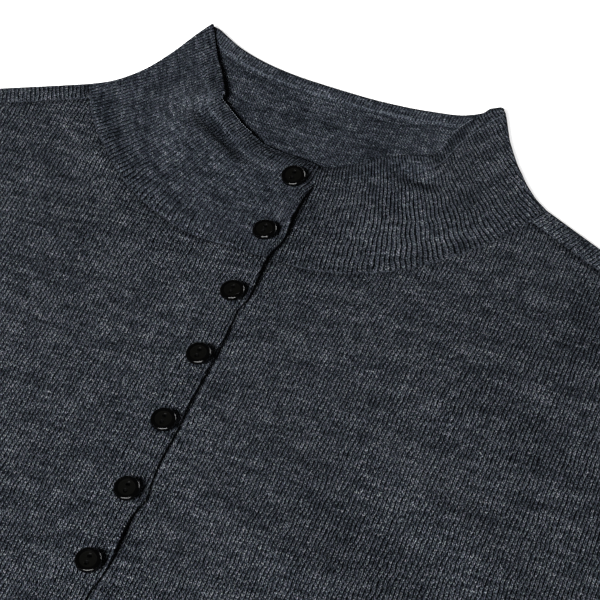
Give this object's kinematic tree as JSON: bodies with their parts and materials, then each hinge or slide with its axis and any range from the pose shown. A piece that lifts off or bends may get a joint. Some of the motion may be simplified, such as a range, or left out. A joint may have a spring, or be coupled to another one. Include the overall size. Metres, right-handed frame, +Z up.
{
  "type": "pullover sweater with funnel collar and buttoned placket, laid flat",
  "caption": "Fine-knit pullover lying flat on its back, arms out, with a standing funnel collar and a placket of small round buttons down the front.",
  "frame": {"origin": "middle of the laid garment's outline, on the surface that the back lies on", "axes": "+X towards the wearer's left sleeve, +Y towards the collar, +Z up from the surface, out of the front"},
  "size_m": [1.3436, 0.6589, 0.0087],
  "materials": {
    "knit": "fine stocking-stitch knit of charcoal marl wool, matt with a soft nap",
    "button": "polished black resin"
  },
  "bodies": {
    "root": {"back": "knit", "front": "knit", "collar": "knit", "sleeve_left": "knit", "sleeve_right": "knit", "cuff_left": "knit", "cuff_right": "knit", "hem_front": "knit", "hem_back": "knit", "button_1": "button", "button_2": "button", "button_3": "button", "button_4": "button", "button_5": "button", "button_6": "button", "button_7": "button", "button_8": "button"}
  },
  "joints": []
}
